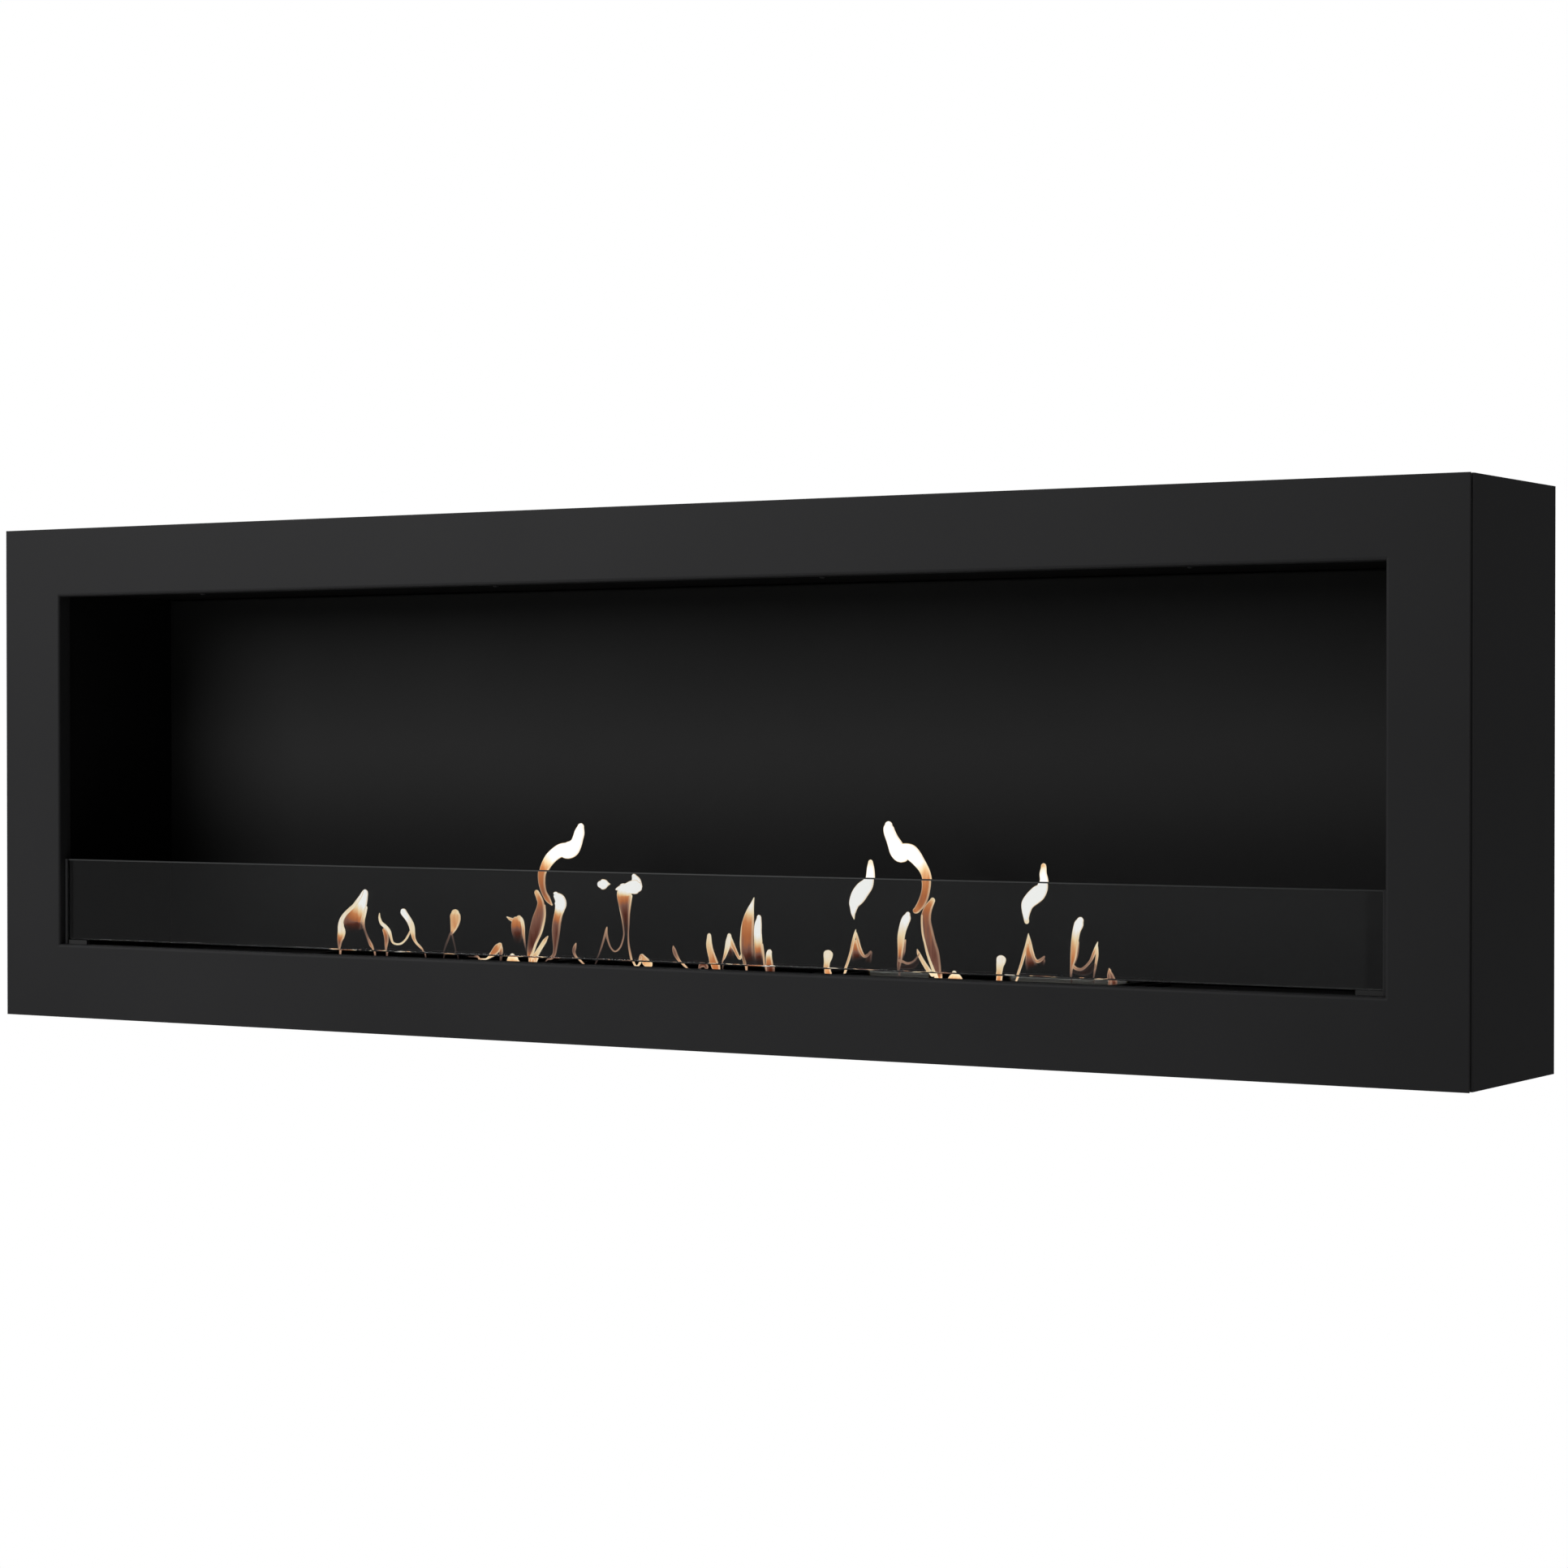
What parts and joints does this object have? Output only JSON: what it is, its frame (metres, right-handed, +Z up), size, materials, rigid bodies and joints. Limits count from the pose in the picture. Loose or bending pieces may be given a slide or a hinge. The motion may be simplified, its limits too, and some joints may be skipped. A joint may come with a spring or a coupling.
{
  "type": "wall fireplace",
  "caption": "Wide wall-hung fireplace with a black folded-steel fascia, open firebox, lift-out shuttered burners and a low glass guard.",
  "frame": {"origin": "on the wall plane, at the middle of the wall rail's flat back", "axes": "+X to the right seen from the room, +Y into the wall, +Z up, so the front face is at -Y"},
  "size_m": [1.755, 0.22, 0.55],
  "materials": {
    "powder_coat": "matte black powder coat",
    "fire_paint": "matte black heat-resistant paint",
    "stainless": "brushed",
    "galvanised": "galvanised",
    "zinc": "zinc plated",
    "wool": "ceramic fibre",
    "gasket": "black felt",
    "rubber": "matte",
    "guard_glass": "toughened, smoked"
  },
  "bodies": {
    "casing": {"front_fascia": "powder_coat", "fascia_gasket": "gasket", "fascia_screw_1": "powder_coat", "fascia_screw_2": "powder_coat", "fascia_screw_3": "powder_coat", "fascia_screw_4": "powder_coat", "casing_right": "powder_coat", "casing_left": "powder_coat", "casing_floor": "powder_coat", "casing_top": "powder_coat", "rear_panel": "galvanised", "firebox_right": "fire_paint", "firebox_left": "fire_paint", "firebox_top": "fire_paint", "firebox_back": "fire_paint", "burner_deck": "fire_paint", "deck_rib_1": "galvanised", "deck_rib_2": "galvanised", "deck_rib_3": "galvanised", "deck_rib_4": "galvanised", "back_stiffener_1": "galvanised", "back_stiffener_2": "galvanised", "back_stiffener_3": "galvanised", "heat_shield": "galvanised", "glass_channel_right": "powder_coat", "glass_channel_left": "powder_coat", "glass_pad_left": "rubber", "glass_pad_right": "rubber", "hanger_rail": "galvanised", "wall_rail": "galvanised", "wall_bumper_left": "rubber", "wall_bumper_right": "rubber", "hanger_rivet_1": "zinc", "hanger_rivet_2": "zinc", "hanger_rivet_3": "zinc", "hanger_rivet_4": "zinc", "hanger_rivet_5": "zinc", "hanger_rivet_6": "zinc"},
    "burner_left": {"burner_left_box": "stainless", "burner_left_top_plate": "stainless", "burner_left_wool": "wool", "burner_left_guide_right": "stainless", "burner_left_guide_left": "stainless"},
    "burner_centre": {"burner_centre_box": "stainless", "burner_centre_top_plate": "stainless", "burner_centre_wool": "wool", "burner_centre_guide_right": "stainless", "burner_centre_guide_left": "stainless"},
    "burner_right": {"burner_right_box": "stainless", "burner_right_top_plate": "stainless", "burner_right_wool": "wool", "burner_right_guide_right": "stainless", "burner_right_guide_left": "stainless"},
    "shutter_left": {"burner_left_shutter": "stainless"},
    "shutter_centre": {"burner_centre_shutter": "stainless"},
    "shutter_right": {"burner_right_shutter": "stainless"},
    "guard": {"glass_guard": "guard_glass"}
  },
  "joints": [
    {"name": "guard_lift", "type": "slide", "parent": "casing", "child": "guard", "axis": [0, 0, 1], "range_m": [0, 0.1]},
    {"name": "burner_left_lift", "type": "slide", "parent": "casing", "child": "burner_left", "axis": [0, 0, 1], "range_m": [0, 0.1]},
    {"name": "burner_centre_lift", "type": "slide", "parent": "casing", "child": "burner_centre", "axis": [0, 0, 1], "range_m": [0, 0.1]},
    {"name": "burner_right_lift", "type": "slide", "parent": "casing", "child": "burner_right", "axis": [0, 0, 1], "range_m": [0, 0.1]},
    {"name": "shutter_left_close", "type": "slide", "parent": "burner_left", "child": "shutter_left", "axis": [0, -1, 0], "range_m": [0, 0.05]},
    {"name": "shutter_centre_close", "type": "slide", "parent": "burner_centre", "child": "shutter_centre", "axis": [0, -1, 0], "range_m": [0, 0.05]},
    {"name": "shutter_right_close", "type": "slide", "parent": "burner_right", "child": "shutter_right", "axis": [0, -1, 0], "range_m": [0, 0.05]}
  ]
}
